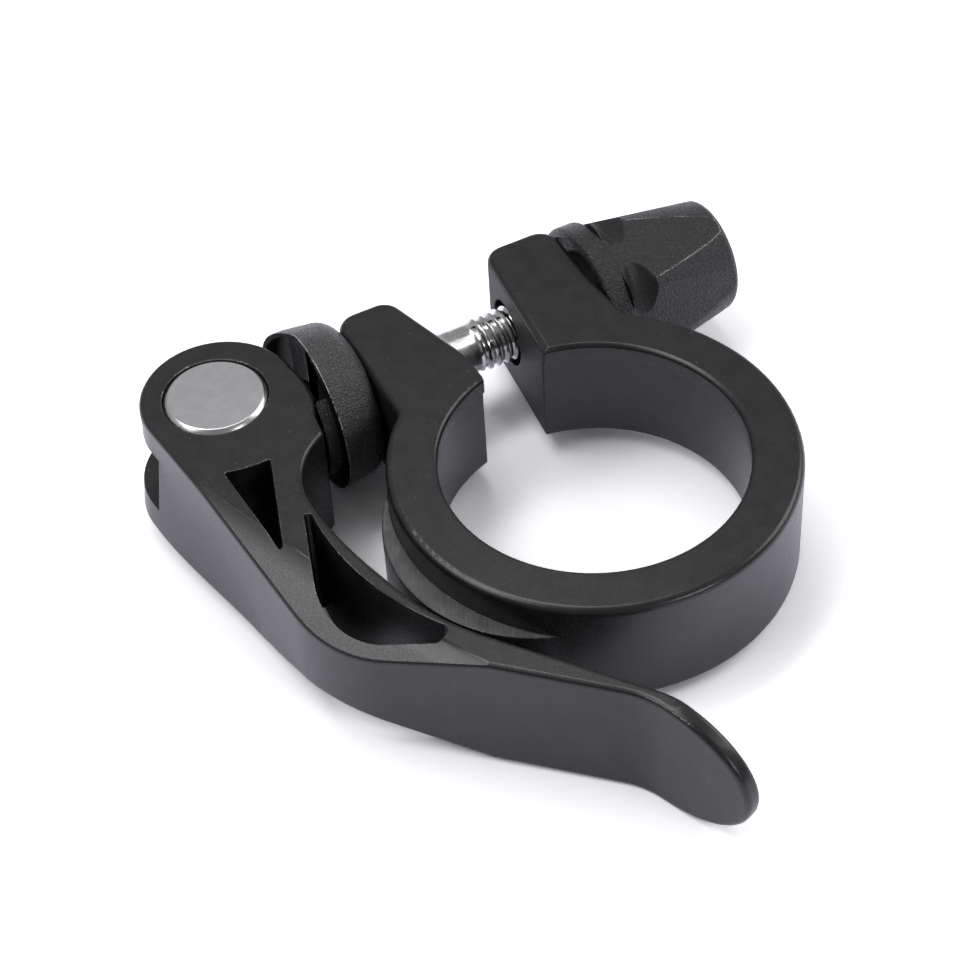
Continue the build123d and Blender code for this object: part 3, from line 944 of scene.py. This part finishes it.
@dataclass
class ClampBolt:
    """Skewer with a plain shank and a rolled thread; sizes in millimetres."""

    axis_y: float = 25.9
    shank_diameter: float = 5.4
    shank_start: float = -33.5
    thread_start: float = -1.2
    thread_end: float = 25.6
    crest_diameter: float = 5.9
    root_diameter: float = 5.15
    pitch: float = 1.0
    end_chamfer: float = 0.7
    core_room: float = 0.06
    shank_overrun: float = 0.9
    shank_taper: float = 0.4
    fade_turns: float = 1.6
    fade_start: float = 0.35
    steps: int = 56

    def build(self) -> Object:
        """Builds the bolt and dresses it."""
        bolt = self.thread()
        core = self.core()
        Bench.pick(bolt)
        core.select_set(True)
        bpy.ops.object.join()
        with Bench.editing(bolt):
            bpy.ops.mesh.normals_make_consistent(inside=False)
        Bench.shift(bolt, (0.0, self.axis_y, 0.0))
        Bench.pick(bolt)
        bpy.ops.object.shade_smooth_by_angle(angle=math.radians(30.0))
        Bench.paint(bolt, PlatedSteel().material())
        seat(bolt, Body.CLAMP, Slot.BOLT, "clamp_bolt")
        return bolt

    def thread(self) -> Object:
        """Winds one pitch of the thread's outline along the bolt."""
        root, crest = self.root_diameter / 2, self.crest_diameter / 2
        tooth = ((0.0, root), (0.10, root), (0.42, crest), (0.56, crest), (0.88, root), (1.0, root))
        sleeve = Bench.profile("clamp_bolt_threaded",
                               [(self.thread_start + self.pitch * share, away) for share, away in tooth])
        turns = int((self.thread_end - self.thread_start) / self.pitch) - 1
        Bench.modify(sleeve, "SCREW", axis="X", screw_offset=self.pitch * MM, iterations=turns,
                     steps=self.steps, render_steps=self.steps, use_merge_vertices=True,
                     merge_threshold=0.001 * MM)
        self.run_out(sleeve)
        with Bench.editing(sleeve):
            bpy.ops.mesh.select_all(action="DESELECT")
            bpy.ops.mesh.select_non_manifold()
            bpy.ops.mesh.fill_holes(sides=0)
        return sleeve

    def run_out(self, sleeve: Object) -> None:
        """Lets the thread fade in beside the shank.

        Args:
            sleeve: The threaded sleeve.
        """
        root = self.root_diameter / 2
        for vertex in sleeve.data.vertices:
            x, y, z = vertex.co / MM
            away = math.hypot(y, z)
            share = min(1.0, max(0.0, (x - self.thread_start) / (self.fade_turns * self.pitch)))
            wanted = root + (away - root) * (self.fade_start + (1.0 - self.fade_start) * share)
            vertex.co.y, vertex.co.z = y * wanted / away * MM, z * wanted / away * MM

    def core(self) -> Object:
        """Turns the shank and the core inside the thread."""
        shank, root = self.shank_diameter / 2, self.root_diameter / 2 - self.core_room
        tip, shank_end = self.thread_end, self.thread_start + self.shank_overrun
        core = Bench.profile("clamp_bolt_core", [
            (self.shank_start, 0.0), (self.shank_start, shank), (shank_end, shank),
            (shank_end + self.shank_taper, root), (tip - self.end_chamfer, root),
            (tip, root - self.end_chamfer), (tip, 0.0)])
        Bench.lathe(core, self.steps)
        return core


@dataclass
class PivotBarrel:
    """Turned cross barrel in the lever's head; sizes in millimetres."""

    edge_break: float = 0.06

    def build(self) -> Object:
        """Builds the barrel and dresses it."""
        barrel = Bench.merged_copy("pivot_barrel", "pivot_barrel_turned")
        steel = TurnedSteel().material()
        Bench.paint(barrel, steel)
        Bench.break_edges(barrel, self.edge_break, steel, angle=30.0)
        Bench.smooth(barrel, angle=25.0)
        seat(barrel, Body.CLAMP, Slot.BARREL, "pivot_barrel")
        return barrel


@dataclass
class CamWasher:
    """Moulded cup that the cam runs in, with its follower inside the rim; sizes in millimetres."""

    edge_break: float = 0.09
    axis_y: float = 25.9
    radius: float = 8.9
    rim: float = -19.3
    wing_start: float = 28.5
    wing_run: Triple = (-2.6, 8.0, 0.0)
    lip_radius: float = 8.35
    pocket_floor: float = -19.6
    pocket_start: float = 27.5
    follower_radius: float = 7.05
    follower_end: float = -20.6
    follower_root: float = -18.8
    follower_side: float = 21.5
    follower_room: float = 0.03
    cup_centre: float = -28.2
    cup_radius: float = 8.95
    cup_length: float = 30.0
    cut_start: float = -24.0
    core_start: float = -28.0
    room_start: float = -26.0
    front_start: float = -27.0
    cut_end: float = -18.0
    front_low: float = 10.0
    cut_low: float = 14.0
    cut_high: float = 40.0
    cut_side: float = 10.0
    steps: int = 128

    def build(self) -> Object:
        """Builds the washer and dresses it."""
        washer = Bench.merged_copy("cam_washer", "cam_washer_moulded")
        self.step_rim(washer)
        Bench.carve(washer, self.pocket())
        Bench.carve(washer, self.follower(), "UNION")
        grained = GrainedMoulding("washer_moulding", pale=(0.066, 0.066, 0.071), grain_size=0.18, depth=1.0,
                                  roughness=0.28, shine=0.7)
        Bench.paint(washer, grained.material())
        worn = WornEdge("washer_edges", bare=(0.5, 0.5, 0.51), share=0.55)
        Bench.break_edges(washer, self.edge_break, worn.material(),
                          test=lambda middle: self.from_axis(middle) > self.radius - 0.3)
        Bench.smooth(washer)
        # Painted shade: the faces looking into the cup, shaded by the lever's head and the rim, get a
        # near-black copy of the moulding.
        dim = GrainedMoulding("cup_painted_shade", dark=(0.006, 0.006, 0.007), pale=(0.008, 0.008, 0.009),
                              roughness=0.6, depth=0.3, shine=0.1)
        Bench.paint(washer, dim.material(), self.in_cup)
        seat(washer, Body.CLAMP, Slot.WASHER, "cam_washer")
        return washer

    def from_axis(self, point: Vector) -> float:
        """Gives a point's distance from the bolt's axis."""
        return math.hypot(point.y - self.axis_y, point.z)

    def plug(self, name: str, start: float, end: float, radius: float) -> Object:
        """Turns a plain plug about the bolt's axis.

        Args:
            name: The plug's name.
            start: Its end on the cam's side.
            end: Its end on the lug's side.
            radius: Its radius.

        Returns:
            The plug as a closed piece.
        """
        plug = Bench.profile(name, [(start, 0.0), (start, radius), (end, radius), (end, 0.0)])
        Bench.lathe(plug, self.steps)
        Bench.shift(plug, (0.0, self.axis_y, 0.0))
        return plug

    def step_rim(self, washer: Object) -> None:
        """Steps the rim back round the follower and lets it lean out to the wing behind it.

        Args:
            washer: The washer to cut.
        """
        ring = Bench.block("rim_cut", (self.cut_start, self.cut_low, -self.cut_side),
                           (self.rim, self.wing_start, self.cut_side))
        Bench.faces(ring, lambda middle, normal: normal.y > 0.9)
        with Bench.editing(ring, keep=True):
            bpy.ops.mesh.extrude_region_move(TRANSFORM_OT_translate={"value": Vector(self.wing_run) * MM})
        Bench.carve(ring, self.plug("rim_core", self.core_start, self.cut_end, self.follower_radius))
        Bench.carve(washer, ring)

    def pocket(self) -> Object:
        """Makes the room inside the wing, which leaves it as a thin lip."""
        room = self.plug("wing_room", self.room_start, self.pocket_floor, self.lip_radius)
        front = Bench.block("front_half", (self.front_start, self.front_low, -self.cut_side),
                            (self.cut_end, self.pocket_start, self.cut_side))
        Bench.carve(room, front)
        return room

    def follower(self) -> Object:
        """Makes the tongue of the follower beside the lever's nose."""
        tongue = self.plug("follower", self.follower_end, self.follower_root,
                           self.follower_radius - self.follower_room)
        Bench.clear()
        bpy.ops.mesh.primitive_cylinder_add(vertices=180, radius=self.cup_radius * MM,
                                            depth=self.cup_length * MM)
        cam_room = bpy.context.active_object
        Bench.shift(cam_room, (self.cup_centre, self.axis_y, 0.0))
        Bench.carve(tongue, cam_room)
        back = Bench.block("back_cut", (self.cut_start, self.follower_side, -self.cut_side),
                           (self.cut_end, self.cut_high, self.cut_side))
        Bench.carve(tongue, back)
        return tongue

    def in_cup(self, middle: Vector, normal: Vector) -> bool:
        """Tells whether a face looks into the cup, apart from the follower's tongue; these faces take the
        painted shade.
        """
        inside = middle.x < self.rim + 0.3 and self.from_axis(middle) < self.radius - 0.1
        return inside and (middle.y > self.follower_side or normal.x < -0.3 and normal.y > -0.9)


@dataclass
class ThumbNut:
    """Moulded thumb nut and the threaded insert inside it; sizes in millimetres."""

    edge_break: float = 0.12
    worn_width: float = 0.09
    base: float = 15.25
    scoop_width: float = 3.4
    corner_turn: float = 11.0
    corner_room: float = 4.0
    worn_flat: float = -19.0
    flat_room: float = 1.5
    flat_lean: tuple[float, float] = (0.10, 0.18)
    scoop_side_lean: tuple[float, float] = (0.15, 0.3)
    flats: int = 6

    def build(self) -> Object:
        """Builds the nut and dresses it."""
        nut = Bench.merged_copy("nut_shell", "thumb_nut_moulded")
        grained = GrainedMoulding("nut_moulding", pale=(0.022, 0.022, 0.025), grain_size=0.24, depth=1.0,
                                  roughness=0.30, shine=0.42)
        Bench.paint(nut, grained.material())
        # Painted shade: a darker, duller copy of the moulding darkens the finger scoops' hollows and the
        # rounded edges, dimming their highlights.
        dim = GrainedMoulding("scoop_and_edge_painted_shade", pale=(0.016, 0.016, 0.018), roughness=0.5, depth=0.4,
                              shine=0.3).material()
        Bench.break_edges(nut, self.edge_break, dim, angle=32.0,
                          test=lambda middle: middle.x > self.base + 0.2)
        Bench.border_edges(nut, self.on_flat)
        Bench.round_edges(nut, self.worn_width, WornEdge("nut_edges", share=0.45).material(),
                          test=lambda middle: middle.x > self.base + self.scoop_width + 0.1)
        Bench.smooth(nut)
        Bench.paint(nut, dim, self.in_scoop)
        seat(nut, Body.NUT, Slot.NUT, "nut_shell")
        insert = Bench.merged_copy("nut_insert", "nut_insert_bush")
        Bench.smooth(insert)
        Bench.paint(insert, BlackSteel().material())
        seat(insert, Body.CARRIER, Slot.INSERT, "nut_insert")
        return nut

    def on_flat(self, middle: Vector, normal: Vector) -> bool:
        """Tells whether a face lies on the flat whose edges are rubbed."""
        turn = math.degrees(math.atan2(normal.y, normal.z))
        leans = self.flat_lean[0] < normal.x < self.flat_lean[1]
        return leans and abs(turn - self.worn_flat) < self.flat_room and middle.x > self.base

    def in_scoop(self, middle: Vector, normal: Vector) -> bool:
        """Tells whether a face lies inside one of the finger scoops, which take the painted shade."""
        turn = math.degrees(math.atan2(normal.y, normal.z)) - self.corner_turn
        step = 360.0 / self.flats
        corner = abs((turn + step / 2) % step - step / 2) < self.corner_room
        side = self.scoop_side_lean[0] < normal.x < self.scoop_side_lean[1]
        return corner and self.base < middle.x < self.base + self.scoop_width and not side


@dataclass
class Studio:
    """Pale floor, soft light and the camera; sizes in metres."""

    floor_size: float = 3.0
    floor_colour: Triple = (0.85, 0.85, 0.86)
    floor_mirrored: Triple = (1.27, 1.25, 1.40)
    floor_shown: Triple = (1.54, 1.53, 1.59)
    room_front: Triple = (-0.42, -0.91, 0.0)
    room_span: tuple[float, float] = (-0.3, 0.6)
    room_tone: tuple[float, float] = (0.36, 0.20)
    washer_foot: float = 0.0014
    nut_foot: float = 0.0035
    blade_foot: tuple[float, float] = (0.006, 0.011)
    camera_place: Triple = (-0.0821, -0.1512, 0.1833)
    camera_right: Triple = (0.8839, -0.4654, -0.0457)
    camera_up: Triple = (0.3662, 0.6282, 0.6865)
    lens: float = 91.84
    sensor: float = 36.0

    def build(self) -> None:
        """Builds the floor, the lights, the world and the camera."""
        self.floor()
        self.world()
        self.lamp("back_strip", (-0.08, 0.24, 0.66), (0.60, 0.18), 1.7)
        self.lamp("left_box", (-0.56, 0.15, 0.70), (0.55, 0.55), 2.7)
        self.lamp("right_box", (0.64, -0.02, 0.46), (0.50, 0.42), 2.0)
        self.lamp("front_box", (0.23, -0.64, 0.42), (0.20, 0.20), 0.9)
        self.camera()

    def contact_plane(self) -> tuple[Vector, Vector]:
        """Finds the plane that the part rests on, from its washer, nut and lever."""
        washer, nut, lever = (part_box(node) for node in ("cam_washer", "nut_shell", "lever"))
        bolt_y = (washer[0].y + washer[1].y) / 2
        under_washer = Vector((washer[0].x + self.washer_foot, bolt_y, washer[0].z))
        under_nut = Vector((nut[0].x + self.nut_foot, bolt_y, nut[0].z))
        under_blade = Vector((lever[1].x - self.blade_foot[0], lever[0].y + self.blade_foot[1], lever[0].z))
        normal = (under_nut - under_washer).cross(under_blade - under_washer).normalized()
        return under_washer, normal if normal.z > 0 else -normal

    def floor(self) -> None:
        """Lays the pale floor under the part."""
        point, normal = self.contact_plane()
        Bench.clear()
        bpy.ops.mesh.primitive_grid_add(x_subdivisions=2, y_subdivisions=2, size=self.floor_size)
        floor = bpy.context.active_object
        floor.name = floor.data.name = "studio_floor"
        lean = Vector((0, 0, 1)).rotation_difference(normal).to_matrix().to_4x4()
        floor.data.transform(Matrix.Translation(point) @ lean)
        material = bpy.data.materials.new("pale_floor")
        material.use_nodes = True
        board = Board(material.node_tree)
        rays = board.add("LightPath")
        mirrored = board.math("MAXIMUM", rays.outputs["Is Glossy Ray"], rays.outputs["Is Transmission Ray"])
        tone = board.blend(mirrored, self.floor_colour, self.floor_mirrored)
        tone = board.blend(rays.outputs["Is Camera Ray"], tone, self.floor_shown)
        pale = board.add("BsdfDiffuse", {"Color": tone})
        board.add("OutputMaterial", {"Surface": pale.outputs[0]})
        floor.data.materials.append(material)

    def world(self) -> None:
        """Sets a dim grey room, darker towards the front and paler towards the back, which camera rays see
        as white.
        """
        world = bpy.data.worlds.new("studio_room")
        bpy.context.scene.world = world
        world.use_nodes = True
        board = Board(world.node_tree)
        way = board.add("TexCoord").outputs["Generated"]
        towards = board.add("VectorMath", {0: way, 1: self.room_front}, operation="DOT_PRODUCT")
        tone = board.ramp(towards.outputs["Value"], *self.room_span, *self.room_tone)
        rays = board.add("LightPath")
        strength = board.math("MAXIMUM", tone, rays.outputs["Is Camera Ray"])
        room = board.add("Background", {"Color": (1.0, 1.0, 1.0, 1.0), "Strength": strength})
        board.add("OutputWorld", {"Surface": room.outputs[0]})

    @staticmethod
    def lamp(name: str, place: Triple, size: tuple[float, float], power: float) -> None:
        """Hangs a soft box that faces the part.

        Args:
            name: Its name.
            place: Where it hangs, in metres.
            size: Its width and height in metres.
            power: Its power in watts.
        """
        data = bpy.data.lights.new(name, "AREA")
        data.shape, data.size, data.size_y, data.energy = "RECTANGLE", size[0], size[1], power
        lamp = bpy.data.objects.new(name, data)
        bpy.context.scene.collection.objects.link(lamp)
        lamp.location = place
        lamp.rotation_mode = "QUATERNION"
        lamp.rotation_quaternion = (-Vector(place)).to_track_quat("-Z", "Y")

    def camera(self) -> None:
        """Sets up the camera at the photograph's angle."""
        data = bpy.data.cameras.new("photo_camera")
        data.lens, data.sensor_width, data.sensor_fit = self.lens, self.sensor, "HORIZONTAL"
        data.clip_start, data.clip_end = 0.01, 20.0
        camera = bpy.data.objects.new("photo_camera", data)
        bpy.context.scene.collection.objects.link(camera)
        right, up = Vector(self.camera_right).normalized(), Vector(self.camera_up)
        back = right.cross(up).normalized()
        up = back.cross(right)
        turn = Matrix((right, up, back)).transposed().to_4x4()
        camera.matrix_world = Matrix.Translation(self.camera_place) @ turn
        bpy.context.scene.camera = camera


def main() -> None:
    """Builds every piece in order, then the studio round them."""
    logging.basicConfig(level=logging.INFO, format="%(name)s: %(message)s")
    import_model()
    for part in (CollarRing(), CamLever(), ClampBolt(), PivotBarrel(), CamWasher(), ThumbNut()):
        piece = part.build()
        LOG.info("built %s", piece.name)
    Studio().build()
    bpy.context.scene.view_settings.view_transform = "Standard"


if __name__ == "__main__":
    main()
